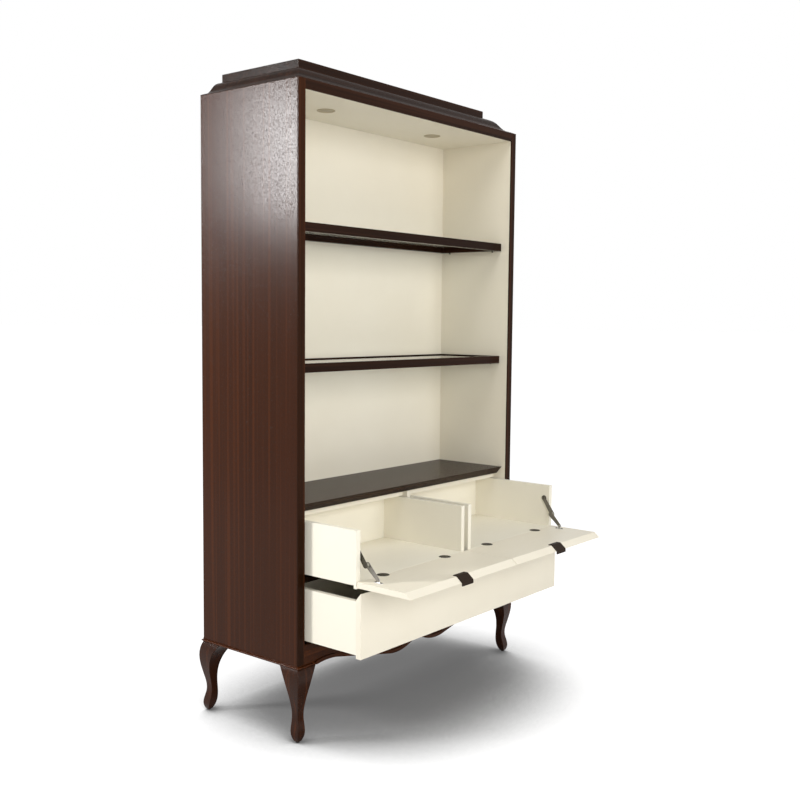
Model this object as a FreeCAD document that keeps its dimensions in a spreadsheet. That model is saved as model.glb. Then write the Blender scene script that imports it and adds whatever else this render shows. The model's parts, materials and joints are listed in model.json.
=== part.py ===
"""Display cabinet on cabriole legs: open shelves over two pull-out boxes and a drawer.

Millimetres. X runs to the right, Y to the back and Z up. Boxes and drawer stand pulled out,
flaps down. The origin is the point of the floor under the middle of the whole as it stands.
"""
import FreeCAD, Part
import math
import os
from types import SimpleNamespace

import Sketcher
from FreeCAD import Placement, Rotation, Vector

# Driving sizes: name, value, meaning
SIZES = (
    ("carcass_width", 1200, "over the side panels"),
    ("carcass_depth", 450, "front lipping to rear edge"),
    ("carcass_height", 1810, "side panels"),
    ("panel", 18, "veneered panels and drawer boards"),
    ("liner", 12, "pale inner linings"),
    ("lipping", 5, "solid edge on the carcass front"),
    ("rear_gap", 3, "rear panel in from the rear edges"),
    ("rear_panel", 6, "rear panel"),
    ("inner_depth", 330, "shelf space, front plane to back panel"),
    ("ease", 1.5, "rounding of touched edges"),
    ("cornice_rise", 57, "carcass top to underside of the top block"),
    ("cornice_inset", 94, "block in from the carcass faces"),
    ("cornice_land", 12, "width of moulding under the block"),
    ("block_height", 28, "top block"),
    ("shelf_thick", 28, "fixed shelf"),
    ("nose_setback", 20, "shelf nosings behind the front plane"),
    ("bevel_slope", 1.1667, "rise for each mm of depth of the bevels"),
    ("bay_top", 18, "pale board over the boxes"),
    ("bay_top_setback", 59, "its front behind the front plane"),
    ("divider_setback", 40, "divider front behind the front plane"),
    ("box_bay", 210, "middle shelf to underside of the fixed shelf"),
    ("mid_thick", 20, "middle shelf, between boxes and drawer"),
    ("drawer_bay", 187, "bottom panel to underside of the middle shelf"),
    ("bottom_thick", 20, "bottom panel"),
    ("apron_rise", 41, "bottom panel above the side panels' lower edge"),
    ("shelf_pitch", 441, "fixed, lower and upper shelf, top to top"),
    ("glass_shelf_thick", 29, "shelf frame height"),
    ("glass_shelf_rail", 24, "shelf frame member"),
    ("glass", 6, "shelf glass"),
    ("glass_bearing", 8, "glass on the frame's rebate"),
    ("glass_recess", 3.5, "glass below the frame's top"),
    ("shelf_play", 1, "shelf to lining and back"),
    ("pin_radius", 2.5, "shelf pins"),
    ("pin_length", 9, "shelf pins"),
    ("pin_setback", 40, "shelf pins in from the shelf's edges"),
    ("light_spacing", 584, "between the two ceiling lights"),
    ("light_setback", 177, "ceiling lights behind the front plane"),
    ("light_radius", 31, "ceiling light rim"),
    ("light_lens", 23, "ceiling light lens radius"),
    ("light_rim", 2, "rim below the ceiling"),
    ("slide_play", 2, "boxes and drawer to linings and divider"),
    ("box_out", 247, "boxes and drawer pulled out by"),
    ("box_length", 361, "side board of a box or the drawer"),
    ("box_lift", 21, "boxes above the middle shelf"),
    ("box_height", 168, "boxes' side boards"),
    ("box_floor", 12, "floor boards"),
    ("lip_height", 10, "lip under the front of a box floor"),
    ("lip_depth", 12, "lip under the front of a box floor"),
    ("flap_thick", 18, "flap"),
    ("flap_rise", 185, "flap's inner face, hinge to bevel"),
    ("flap_seam", 2.5, "between the two flaps"),
    ("hinge_play", 0.5, "flap and floor to the hinge axis"),
    ("hinge_lead", 2, "hinge axis before the side boards' ends"),
    ("cup_radius", 20, "round flap hinge"),
    ("cup_depth", 9, "round flap hinge"),
    ("cup_play", 0.3, "cup to its recess"),
    ("cup_spacing", 320, "between a flap's hinges"),
    ("pull_width", 60, "flap pull"),
    ("pull_plate", 2, "flap pull plate"),
    ("pull_leaf", 14, "pull's leaf on the inner face"),
    ("pull_lip", 10, "pull's lip turned down past the flap's edge"),
    ("drawer_lift", 15, "drawer above the bottom panel"),
    ("drawer_height", 166, "drawer side boards"),
    ("drawer_front_thick", 20, "drawer front"),
    ("drawer_front_drop", 11, "drawer front below the drawer's underside"),
    ("drawer_front_over", 2, "drawer front above the middle shelf"),
    ("runner_width", 22, "runner channel"),
    ("runner_height", 10, "runner channel"),
    ("runner_wall", 2, "runner channel and slider"),
    ("runner_play", 0.5, "slider in its channel"),
    ("runner_inset", 95, "runner centre in from a box side"),
    ("runner_setback", 50, "channel's end behind the front plane"),
    ("runner_length", 350, "runner channel"),
    ("boss_back", 25, "stay boss behind the hinge axis"),
    ("boss_up", 106, "stay boss above the hinge axis"),
    ("foot_out", 55, "stay foot before the hinge axis"),
    ("foot_up", 9, "stay foot pivot above the flap"),
    ("stay_slack", 0.5, "stay arms' length over the straight line"),
    ("stay_share", 0.55, "upper arm's share of both arms"),
    ("stay_plate", 2.5, "stay arm"),
    ("stay_gap", 0.2, "between stay parts side by side"),
    ("drum_radius", 8, "friction drum at the stay's elbow"),
    ("drum_thick", 8, "friction drum at the stay's elbow"),
    ("boss_radius", 10, "stay boss"),
    ("boss_thick", 3, "stay boss"),
    ("pivot_radius", 3, "stay pivots"),
    ("pivot_play", 0.1, "stay pivots in their eyes"),
    ("eye_radius", 6.5, "stay arm ends"),
    ("elbow_radius", 9, "stay arms at the elbow"),
    ("foot_length", 34, "stay foot plate"),
    ("foot_width", 12, "stay foot plate"),
    ("foot_plate", 1.5, "stay foot plate"),
    ("base_rail", 86, "moulded rail over the legs"),
    ("base_rail_thick", 12, "moulded rail over the legs"),
    ("base_overhang", 5, "moulding past the carcass"),
    ("leg_height", 238, "leg with glide"),
    ("glide_height", 5, "glide"),
    ("glide_radius", 7, "glide"),
    ("knee_out", 11, "knee past the carcass corner"),
    ("knee_drop", 48, "widest point of the knee below the rail"),
    ("shin_in", 0.6, "shin inside the carcass corner"),
    ("shin_height", 120, "that point of the shin from the floor"),
    ("ankle_in", 6, "ankle inside the carcass corner"),
    ("ankle_height", 70, "that point of the leg from the floor"),
    ("ankle_width", 26.5, "thinnest point of the leg"),
    ("toe_out", 1.5, "toe past the carcass corner"),
    ("toe_height", 22, "tip of the toe from the floor"),
    ("sole_in", 4, "front of the sole inside the corner"),
    ("sole_width", 17, "sole"),
    ("leg_arris", 1.8, "rounding of the leg's corners"),
    ("apron_thick", 22, "shaped apron"),
    ("apron_arch", 38, "apron edge below the rail at the middle"),
    ("apron_lobe", 61, "apron edge below the rail at its lowest"),
    ("apron_lobe_at", 115, "that point from the middle"),
    ("apron_lobe_radius", 200, "round of the lobe"),
    ("apron_lobe_run", 45, "lobe's round past its lowest point"),
    ("apron_shoulder", 2, "apron edge above the rail where the slope ends"),
    ("apron_shoulder_in", 89, "that point from the rail"),
    ("apron_crown", 4.5, "apron edge above the rail beside the leg"),
    ("apron_crown_in", 41, "that point from the rail"),
    ("bead", 12, "bead along the apron edge"),
)


class Size:
    """A length that knows its value and the sheet formula that gives it."""

    def __init__(self, value, formula):
        self.value = value
        self.formula = formula

    def __add__(self, other):
        other = as_size(other)
        return Size(self.value + other.value, f"({self.formula} + {other.formula})")

    def __sub__(self, other):
        other = as_size(other)
        return Size(self.value - other.value, f"({self.formula} - {other.formula})")

    def __mul__(self, other):
        other = as_size(other)
        return Size(self.value * other.value, f"({self.formula} * {other.formula})")

    def __truediv__(self, other):
        other = as_size(other)
        return Size(self.value / other.value, f"({self.formula} / {other.formula})")

    def __radd__(self, other):
        return as_size(other) + self

    def __rsub__(self, other):
        return as_size(other) - self

    def __rmul__(self, other):
        return as_size(other) * self

    def __neg__(self):
        return as_size(0) - self


def as_size(value):
    """A plain number as a Size."""
    return value if isinstance(value, Size) else Size(float(value), f"({float(value)})")


def root(size):
    """Square root of a Size."""
    return Size(math.sqrt(size.value), f"sqrt({size.formula})")


def make_sheet():
    """The sheet of driving sizes, and each size by name."""
    sheet = doc.addObject("Spreadsheet::Sheet", "Sizes")
    named = {}
    for row, (name, value, meaning) in enumerate(SIZES, start=1):
        sheet.set(f"A{row}", name)
        sheet.set(f"B{row}", str(value))
        sheet.setAlias(f"B{row}", name)
        sheet.set(f"C{row}", meaning)
        named[name] = Size(float(value), f"Sizes.{name}")
    doc.recompute()
    return SimpleNamespace(**named)


def bind(item, prop, size):
    """Tie a property to its formula."""
    item.setExpression(prop, as_size(size).formula)


def board(name, x, y, z):
    """A board between the limits x, y and z."""
    item = doc.addObject("Part::Box", name)
    for prop, limits in (("Length", x), ("Width", y), ("Height", z)):
        bind(item, prop, limits[1] - limits[0])
    for axis, limits in zip("xyz", (x, y, z)):
        bind(item, "Placement.Base." + axis, limits[0])
    return item


def rod(name, radius, length, base, direction):
    """A round bar of a length that starts at base and runs along direction."""
    item = doc.addObject("Part::Cylinder", name)
    bind(item, "Radius", radius)
    bind(item, "Height", length)
    start = [as_size(c) for c in base]
    item.Placement = Placement(Vector(*(c.value for c in start)),
                               Rotation(Vector(0, 0, 1), Vector(*direction)))
    for axis, size in zip("xyz", start):
        bind(item, "Placement.Base." + axis, size)
    return item


def cut(name, base, tools):
    """The base with the tools cut away."""
    item = doc.addObject("Part::Cut", name)
    item.Base = base
    item.Tool = tools[0] if len(tools) == 1 else join(name + "_tools", tools)
    return item


def join(name, pieces):
    """Several bodies as one solid."""
    item = doc.addObject("Part::MultiFuse", name)
    item.Shapes = pieces
    item.Refine = True
    return item


def group(name, pieces):
    """Like pieces that share a node, each a solid of its own."""
    item = doc.addObject("Part::Compound", name)
    item.Links = pieces
    return item


def plane_of(body, role):
    """A principal plane of a body."""
    return next(f for f in body.Origin.OriginFeatures if f.Role == role)


def draw(body, role, outlines, offset=0, circles=()):
    """Sketch closed outlines: points, and (via, end) pairs for arcs, tied to their sizes."""
    sketch = body.newObject("Sketcher::SketchObject", body.Name + "_outline")
    sketch.AttachmentSupport = [(plane_of(body, role), "")]
    sketch.MapMode = "FlatFace"
    bind(sketch, "AttachmentOffset.Base.z", offset)
    for outline in outlines:
        draw_outline(sketch, outline)
    for centre, radius in circles:
        draw_circle(sketch, centre, radius)
    return sketch


def vector(point):
    """A sketch point as a vector."""
    return Vector(as_size(point[0]).value, as_size(point[1]).value, 0)


def pin_down(sketch, edge, end, point):
    """Hold one point of a sketch edge at its place, by formula."""
    for kind, size in zip(("DistanceX", "DistanceY"), point):
        size = as_size(size)
        index = sketch.addConstraint(Sketcher.Constraint(kind, -1, 1, edge, end, size.value))
        sketch.setExpression(f"Constraints[{index}]", size.formula)


def draw_outline(sketch, outline):
    """One closed outline of straight and round edges."""
    ends = [step[1] if isinstance(step[0], tuple) else step for step in outline]
    edges = []
    for number, step in enumerate(outline):
        start = ends[number - 1]
        if isinstance(step[0], tuple):
            arc = Part.Arc(vector(start), vector(step[0]), vector(step[1]))
            edge = sketch.addGeometry(arc, False)
            forward = arc.value(arc.FirstParameter).distanceToPoint(vector(start)) < 0.001
            mark = sketch.addGeometry(Part.Point(vector(step[0])), True)
            pin_down(sketch, mark, 1, step[0])
            sketch.addConstraint(Sketcher.Constraint("PointOnObject", mark, 1, edge))
            first, last = arc_ends(sketch, edge, vector(start))
        else:
            edge = sketch.addGeometry(Part.LineSegment(vector(start), vector(step)), False)
            first, last = 1, 2
        edges.append((edge, first, last))
    for number, (edge, first, last) in enumerate(edges):
        before = edges[number - 1]
        sketch.addConstraint(Sketcher.Constraint("Coincident", before[0], before[2], edge, first))
        pin_down(sketch, edge, last, ends[number])


def arc_ends(sketch, edge, start):
    """Which end of a sketched arc is its start point."""
    if sketch.getPoint(edge, 1).distanceToPoint(start) < 0.001:
        return 1, 2
    return 2, 1


def draw_circle(sketch, centre, radius):
    """A circle tied to its centre and radius."""
    circle = Part.Circle(vector(centre), Vector(0, 0, 1), as_size(radius).value)
    edge = sketch.addGeometry(circle, False)
    pin_down(sketch, edge, 3, centre)
    index = sketch.addConstraint(Sketcher.Constraint("Radius", edge, as_size(radius).value))
    sketch.setExpression(f"Constraints[{index}]", as_size(radius).formula)


def slab(name, role, outlines, offset, length, circles=()):
    """A body padded from its outlines along the plane's normal, from offset on."""
    body = doc.addObject("PartDesign::Body", name)
    sketch = draw(body, role, outlines, offset, circles)
    pad = body.newObject("PartDesign::Pad", name + "_pad")
    pad.Profile = sketch
    bind(pad, "Length", length)
    return body


def along_x(name, outline, x):
    """A piece of constant section from x[0] to x[1]; its outline holds (y, z) points."""
    return slab(name, "YZ_Plane", [outline], x[0], x[1] - x[0])


def eased(name, base, radius, pick):
    """The base with the edges that pick accepts rounded."""
    doc.recompute()
    item = doc.addObject("Part::Fillet", name)
    item.Base = base
    item.Edges = [(number, radius.value, radius.value)
                  for number, edge in enumerate(base.Shape.Edges, start=1) if pick(edge)]
    return item


def lies_at(edge, axis, size):
    """Whether an edge lies in the plane where axis has this size."""
    return all(abs(getattr(v.Point, axis) - as_size(size).value) < 0.01 for v in edge.Vertexes)


def side_span(side, near, far):
    """Limits along X of a piece between near and far from the middle, on one side."""
    return (near, far) if side > 0 else (-far, -near)


def closed_setback():
    """A closed box's side boards behind the front plane."""
    return d.nose_setback + d.flap_thick - d.hinge_lead - 2


def front_reach():
    """How far the pulls' tips stand before the front plane."""
    hinge = d.box_out + d.hinge_lead - closed_setback()
    flap = d.flap_rise + d.flap_thick * d.bevel_slope
    return hinge + flap + d.pull_plate


def label(side):
    """The name of a side."""
    return "right" if side > 0 else "left"


def make_carcass():
    """Side panels, linings, top, ceiling, back, rear panel and front lipping."""
    nodes = []
    lining = (inner, half - d.panel)
    for side in (-1, 1):
        name = label(side)
        nodes.append(eased("side_panel_" + name,
                           board("side_panel_blank_" + name,
                                 side_span(side, half - d.panel, half),
                                 (front + d.lipping, rear), (base_z, head_z)),
                           d.ease, lambda e: lies_at(e, "y", rear)
                           and lies_at(e, "x", side * half)))
        nodes.append(board("side_liner_" + name, side_span(side, *lining),
                           (front + d.lipping, rear_face), (base_z, ceiling + d.liner)))
        nodes.append(eased("front_stile_" + name,
                           board("front_stile_blank_" + name, side_span(side, inner, half),
                                 (front, front + d.lipping), (base_z, head_z)),
                           d.ease, lambda e: lies_at(e, "y", front)
                           and lies_at(e, "x", side * half)))
    nodes.append(board("front_top_rail", (-inner, inner), (front, front + d.lipping),
                       (ceiling, head_z)))
    nodes.append(board("carcass_top", (-half + d.panel, half - d.panel),
                       (front + d.lipping, rear_face), (head_z - d.panel, head_z)))
    nodes.append(board("back_panel", (-inner, inner), (back_face, back_face + d.liner),
                       (shelf_top, ceiling)))
    nodes.append(board("rear_panel", (-half + d.panel, half - d.panel),
                       (rear_face, rear_face + d.rear_panel), (base_z, head_z)))
    return nodes


def make_ceiling():
    """The ceiling lining, holed for two lights, and the lights."""
    spots = [(side * d.light_spacing / 2, front + d.light_setback) for side in (-1, 1)]
    blank = board("ceiling_blank", (-inner, inner), (front + d.lipping, rear_face),
                  (ceiling, ceiling + d.liner))
    can = d.light_lens + d.light_rim
    holes = [rod(f"light_hole_{n}", can + 0.5, d.liner, (x, y, ceiling), (0, 0, 1))
             for n, (x, y) in enumerate(spots)]
    rims = []
    lenses = []
    for n, (x, y) in enumerate(spots):
        flange = rod(f"light_flange_{n}", d.light_radius, d.light_rim,
                     (x, y, ceiling - d.light_rim), (0, 0, 1))
        barrel = rod(f"light_barrel_{n}", can, d.liner, (x, y, ceiling), (0, 0, 1))
        bore = rod(f"light_bore_{n}", d.light_lens, d.liner + d.light_rim,
                   (x, y, ceiling - d.light_rim), (0, 0, 1))
        rims.append(cut(f"light_rim_{n}", join(f"light_body_{n}", [flange, barrel]), [bore]))
        lenses.append(rod(f"light_lens_{n}", d.light_lens, d.light_rim,
                          (x, y, ceiling - d.light_rim / 2), (0, 0, 1)))
    return [cut("ceiling_panel", blank, holes), group("downlight_rims", rims),
            group("downlight_lenses", lenses)]


def make_cornice():
    """The ogee moulding round front and sides, and the block on top."""
    rise = d.cornice_rise
    inset = d.cornice_inset
    back = inset + d.cornice_land

    def at(across, up):
        return (-half + inset * across, head_z + rise * up)

    profile = ((-half + back, head_z), at(0, 0),
               (at(0.13, 0.17), at(0.33, 0.27)),
               (at(0.46, 0.38), at(0.57, 0.60)),
               (at(0.75, 0.88), at(1, 1)),
               (-half + back, head_z + rise))
    body = doc.addObject("PartDesign::Body", "cornice_moulding")
    section = draw(body, "XZ_Plane", [profile], -rear)
    path = body.newObject("Sketcher::SketchObject", "cornice_path")
    path.AttachmentSupport = [(plane_of(body, "XY_Plane"), "")]
    path.MapMode = "FlatFace"
    bind(path, "AttachmentOffset.Base.z", head_z)
    corners = ((-half, rear), (-half, front), (half, front), (half, rear))
    for start, end in zip(corners, corners[1:]):
        edge = path.addGeometry(Part.LineSegment(vector(start), vector(end)), False)
        pin_down(path, edge, 1, start)
        pin_down(path, edge, 2, end)
    pipe = body.newObject("PartDesign::AdditivePipe", "cornice_sweep")
    pipe.Profile = section
    pipe.Spine = path
    pipe.Transition = "Right corner"
    crown = head_z + rise + d.block_height
    block = board("cornice_block_top", (-half + inset, half - inset), (front + inset, rear),
                  (head_z + rise, crown))
    skirt = board("cornice_block_skirt", (-half + back, half - back), (rear - d.panel, rear),
                  (head_z, head_z + rise))
    whole = join("cornice_block_blank", [block, skirt])
    return [body, eased("cornice_block", whole, d.ease, lambda e: lies_at(e, "z", crown))]


def nosed_shelf(name, top, thick):
    """A dark shelf whose front is cut back beneath at the bevel slope."""
    nose = front + d.nose_setback
    low = top - thick
    outline = ((rear_face, low), (rear_face, top), (nose, top), (nose + thick / d.bevel_slope, low))
    shelf = along_x(name + "_blank", outline, (-inner, inner))
    return eased(name, shelf, d.ease / 2, lambda e: lies_at(e, "y", nose))


def make_lower_case():
    """Fixed shelf, boards over the boxes, divider, middle shelf and bottom panel."""
    low = shelf_top - d.shelf_thick
    over = [board("bay_top_" + label(side), side_span(side, d.panel / 2, inner),
                  (front + d.bay_top_setback, rear_face), (low - d.bay_top, low))
            for side in (-1, 1)]
    return [nosed_shelf("fixed_shelf", shelf_top, d.shelf_thick),
            group("bay_tops", over),
            board("centre_divider", (-d.panel / 2, d.panel / 2),
                  (front + d.divider_setback, rear_face), (mid_top, low)),
            nosed_shelf("mid_shelf", mid_top, d.mid_thick),
            board("bottom_panel", (-inner, inner), (front, rear_face),
                  (bottom_top - d.bottom_thick, bottom_top))]


def make_glass_shelf(name, top):
    """A rebated frame with a glass panel let in, and its four pins."""
    wide = inner - d.shelf_play
    y = (front + d.divider_setback, back_face - d.shelf_play)
    low = top - d.glass_shelf_thick
    rail = d.glass_shelf_rail
    bed = rail - d.glass_bearing
    blank = board(name + "_blank", (-wide, wide), y, (low, top))
    window = board(name + "_window", (-wide + rail, wide - rail), (y[0] + rail, y[1] - rail),
                   (low, top))
    inset = ((-wide + bed, wide - bed), (y[0] + bed, y[1] - bed))
    bearing = top - d.glass_recess - d.glass
    rebate = board(name + "_rebate", *inset, (bearing, top))
    pane = board(name + "_glass", *inset, (bearing, bearing + d.glass))
    pins = [rod(f"{name}_pin_{side}_{n}", d.pin_radius, d.pin_length,
                (side * inner, y_pin, low - d.pin_radius), (-side, 0, 0))
            for side in (-1, 1)
            for n, y_pin in enumerate((y[0] + d.pin_setback, y[1] - d.pin_setback))]
    return [cut(name + "_frame", blank, [window, rebate]), pane], pins


def make_glass_shelves():
    """Both glass shelves and the pins that carry them."""
    upper, upper_pins = make_glass_shelf("upper_shelf", shelf_top + 2 * d.shelf_pitch)
    lower, lower_pins = make_glass_shelf("lower_shelf", shelf_top + d.shelf_pitch)
    return upper + lower + [group("shelf_pins", upper_pins + lower_pins)]


def apron_edge(lift):
    """The serpentine lower edge from left to right, lifted by a height."""
    drop = d.apron_lobe - d.apron_arch
    at = d.apron_lobe_at
    radius = d.apron_lobe_radius
    top = d.leg_height - d.apron_arch + lift
    low = d.leg_height - d.apron_lobe + lift
    centres = (at * at + drop * drop) / (2 * drop)
    arch = centres - radius
    turn = (at * arch / centres, top - arch + arch * (centres - drop) / centres)
    run = d.apron_lobe_run
    slope = (at + run, low + radius - root(radius * radius - run * run))
    rail = half - d.base_rail + d.base_overhang
    shoulder = (rail - d.apron_shoulder_in, d.leg_height + d.apron_shoulder + lift)
    crown = (rail - d.apron_crown_in, d.leg_height + d.apron_crown + lift)
    foot = (rail, d.leg_height + lift)
    right = [((0, top), turn), ((at, low), slope), shoulder, (crown, foot)]

    def mirror(point):
        return (-point[0], point[1])

    left = [mirror(foot), (mirror(crown), mirror(shoulder)), mirror(slope),
            (mirror((at, low)), mirror(turn))]
    return left + right


def make_apron():
    """The shaped apron and the bead along its lower edge."""
    low = bottom_top - d.bottom_thick
    foot = half - d.base_rail + d.base_overhang
    corners = [(foot, base_z), (inner, base_z), (inner, low), (-inner, low),
               (-inner, base_z), (-foot, base_z)]
    field = slab("apron_field", "XZ_Plane", [apron_edge(0) + corners],
                 -front - d.apron_thick, d.apron_thick)
    band = apron_edge(0) + reverse_edge(apron_edge(d.bead))
    bead = slab("apron_bead", "XZ_Plane", [band], -front, d.base_overhang)
    return [join("apron", [field, bead])]


def reverse_edge(edge):
    """The same edge drawn from its end to its start."""
    ends = [step[1] if isinstance(step[0], tuple) else step for step in edge]
    back = [ends[-1]]
    for number in range(len(edge) - 1, 0, -1):
        step = edge[number]
        back.append((step[0], ends[number - 1]) if isinstance(step[0], tuple) else ends[number - 1])
    return back


def make_base():
    """The moulded rails between side panels and legs."""
    nodes = []
    for side in (-1, 1):
        name = label(side)
        blank = board("base_rail_blank_" + name,
                      side_span(side, half - d.base_rail + d.base_overhang,
                                half + d.base_overhang),
                      (front - d.base_overhang, rear + d.base_overhang),
                      (d.leg_height, base_z))
        outer = side * (half + d.base_overhang)
        nodes.append(eased("base_rail_" + name, blank, 2 * d.ease,
                           lambda e: lies_at(e, "x", outer)
                           and not lies_at(e, "z", d.leg_height)))
    return nodes


def leg_face(inset_axis):
    """One bandsawn face of the leg at the front left corner, inset along an axis."""
    top = d.leg_height.value
    sole = d.glide_height.value
    ankle = (d.ankle_in + d.ankle_width).value
    block = (d.base_rail - d.base_overhang).value
    knee = top - d.knee_drop.value
    shin = d.shin_height.value
    toe = d.toe_height.value
    heel = (d.sole_in + d.sole_width).value
    outer = ((-d.toe_out.value, top), (-d.knee_out.value, knee), (d.shin_in.value, shin),
             (d.ankle_in.value, d.ankle_height.value), (-d.toe_out.value, toe),
             (d.sole_in.value, sole))
    inner_line = ((block, top), (block * 0.65, knee + 10), (ankle + 3.5, shin + 30),
                  (ankle + 0.5, d.ankle_height.value + 28), (heel + 8, toe), (heel, sole))

    def place(point):
        inset, z = point
        corner = Vector(-half.value, front.value, z)
        return corner + (Vector(inset, 0, 0) if inset_axis == "x" else Vector(0, inset, 0))

    curves = []
    for line in (outer, inner_line):
        curve = Part.BSplineCurve()
        curve.interpolate([place(p) for p in line])
        curves.append(curve.toShape())
    head = Part.makeLine(place(outer[0]), place(inner_line[0]))
    base = Part.makeLine(place(outer[-1]), place(inner_line[-1]))
    return Part.Face(Part.Wire([curves[0], base, curves[1], head]))


def make_legs():
    """Cabriole legs: one profile sawn from two faces of a billet, corners eased."""
    blanks = []
    for axis, direction in (("x", Vector(0, 1, 0)), ("y", Vector(1, 0, 0))):
        face = doc.addObject("Part::Feature", "leg_face_" + axis)
        face.Shape = leg_face(axis)
        sawn = doc.addObject("Part::Extrusion", "leg_sawn_" + axis)
        sawn.Base = face
        sawn.DirMode = "Custom"
        sawn.Dir = direction
        sawn.Solid = True
        bind(sawn, "LengthFwd", d.base_rail + d.knee_out)
        bind(sawn, "LengthRev", 2 * d.knee_out)
        blanks.append(sawn)
    square = doc.addObject("Part::MultiCommon", "leg_square")
    square.Shapes = blanks
    legs = [eased("leg_front_left", square, d.leg_arris, is_long_arris)]
    for name, normals in (("leg_front_right", "x"), ("leg_rear_left", "y"),
                          ("leg_rear_right", "xy")):
        source = legs[0]
        for axis in normals:
            mirror = doc.addObject("Part::Mirroring", name + "_" + axis)
            mirror.Source = source
            mirror.Normal = Vector(axis == "x", axis == "y", 0)
            bind(mirror, "Base.y", middle_y)
            source = mirror
        source.Label = name
        legs.append(source)
    sole = d.sole_in + d.sole_width / 2
    pads = [rod(f"glide_{x}_{n}", d.glide_radius, d.glide_height, (x * (half - sole), y, 0),
                (0, 0, 1))
            for x in (-1, 1) for n, y in enumerate((front + sole, rear - sole))]
    return legs + [group("glides", pads)]


def is_long_arris(edge):
    """Whether an edge runs down the leg."""
    box = edge.BoundBox
    return box.ZLength > 100


def runner_channel(name, x, seat):
    """A fixed channel, open upward, that stands on its seat."""
    wide = d.runner_width / 2
    wall = d.runner_wall
    outline = ((x - wide, seat), (x + wide, seat), (x + wide, seat + d.runner_height),
               (x + wide - wall, seat + d.runner_height), (x + wide - wall, seat + wall),
               (x - wide + wall, seat + wall), (x - wide + wall, seat + d.runner_height),
               (x - wide, seat + d.runner_height))
    start = front + d.runner_setback
    return slab(name, "XZ_Plane", [outline], -start - d.runner_length, d.runner_length)


def runner_slider(name, x, seat, under, y):
    """A sliding bar that hangs from its box and runs in the channel."""
    bar = d.runner_width / 2 - d.runner_wall - d.runner_play
    web = d.runner_wall
    low = seat + d.runner_wall + d.runner_play
    cap = d.runner_width / 2
    outline = ((x - bar, low), (x + bar, low), (x + bar, low + d.runner_wall * 2),
               (x + web, low + d.runner_wall * 2), (x + web, under - d.runner_wall),
               (x + cap, under - d.runner_wall), (x + cap, under), (x - cap, under),
               (x - cap, under - d.runner_wall), (x - web, under - d.runner_wall),
               (x - web, low + d.runner_wall * 2), (x - bar, low + d.runner_wall * 2))
    return slab(name, "XZ_Plane", [outline], -y[1], y[1] - y[0])


def runner_places(near, far):
    """Centres of a pair of runners between two sides."""
    return (near + d.runner_inset, far - d.runner_inset)


def make_box(side):
    """A pull-out box: side and back boards, floor with lip, sliders and hinge cups."""
    name = label(side)
    y = (box_front, box_front + d.box_length)
    z = (box_low, box_low + d.box_height)
    near = d.panel / 2 + d.slide_play
    far = inner - d.slide_play
    walls = [board(f"{name}_box_outer_side", side_span(side, far - d.panel, far), y, z),
             board(f"{name}_box_inner_side", side_span(side, near, near + d.panel), y, z),
             board(f"{name}_box_rear", side_span(side, near + d.panel, far - d.panel),
                   (y[1] - d.panel, y[1]), z)]
    edge = hinge_y + d.hinge_play
    plate = board(f"{name}_box_plate", side_span(side, near + d.panel, far - d.panel),
                  (edge, y[1] - d.panel), (z[0], z[0] + d.box_floor))
    lip = board(f"{name}_box_lip", side_span(side, near, far), (edge, edge + d.lip_depth),
                (z[0] - d.lip_height, z[0]))
    recess = [rod(f"{name}_floor_recess_{n}", d.cup_radius + d.cup_play, d.cup_depth,
                  (x, hinge_y, hinge_z), (0, 0, -1)) for n, x in enumerate(cup_places(side))]
    floor = cut(f"{name}_box_floor", join(f"{name}_box_base", [plate, lip]), recess)
    sliders = [runner_slider(f"{name}_slider_{n}", side * x, mid_top, z[0],
                             (edge + d.lip_depth, y[1]))
               for n, x in enumerate(runner_places(near, far))]
    return [group(f"{name}_box_walls", walls), floor, group(f"{name}_box_runners", sliders),
            make_cups(f"{name}_floor_hinge_cups", side, 1)]


def cup_places(side):
    """Places along X of a flap's two hinges."""
    middle = (d.flap_seam / 2 + inner - d.slide_play) / 2
    return [side * (middle - d.cup_spacing / 2), side * (middle + d.cup_spacing / 2)]


def make_cups(name, side, way):
    """The hinge halves in the floor (way 1) or in the flap (way -1)."""
    halves = []
    reach = d.cup_radius * 2
    for n, x in enumerate(cup_places(side)):
        disc = rod(f"{name}_disc_{n}", d.cup_radius, d.cup_depth, (x, hinge_y, hinge_z),
                   (0, 0, -1))
        near = hinge_y + d.hinge_play
        y = (hinge_y - reach, near) if way > 0 else (hinge_y - d.hinge_play, hinge_y + reach)
        other = board(f"{name}_other_{n}", (x - reach, x + reach), y,
                      (hinge_z - 2 * d.cup_depth, hinge_z + d.cup_depth))
        halves.append(cut(f"{name}_half_{n}", disc, [other]))
    return group(name, halves)


def make_flap(side):
    """A drop front, open level with the box floor, with hinge cups and pull."""
    name = label(side)
    near = hinge_y - d.hinge_play
    arris = hinge_y - d.flap_rise
    edge = arris - d.flap_thick * d.bevel_slope
    low = hinge_z - d.flap_thick
    outline = ((near, hinge_z), (arris, hinge_z), (edge, low), (near, low))
    x = side_span(side, d.flap_seam / 2, inner - d.slide_play)
    blank = along_x(f"{name}_flap_blank", outline, x)
    recess = [rod(f"{name}_flap_recess_{n}", d.cup_radius + d.cup_play, d.cup_depth,
                  (c, hinge_y, hinge_z), (0, 0, -1)) for n, c in enumerate(cup_places(side))]
    return [cut(f"{name}_flap", blank, recess), make_cups(f"{name}_flap_hinge_cups", side, -1),
            make_pull(side, (arris, hinge_z), (edge, low))]


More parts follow.
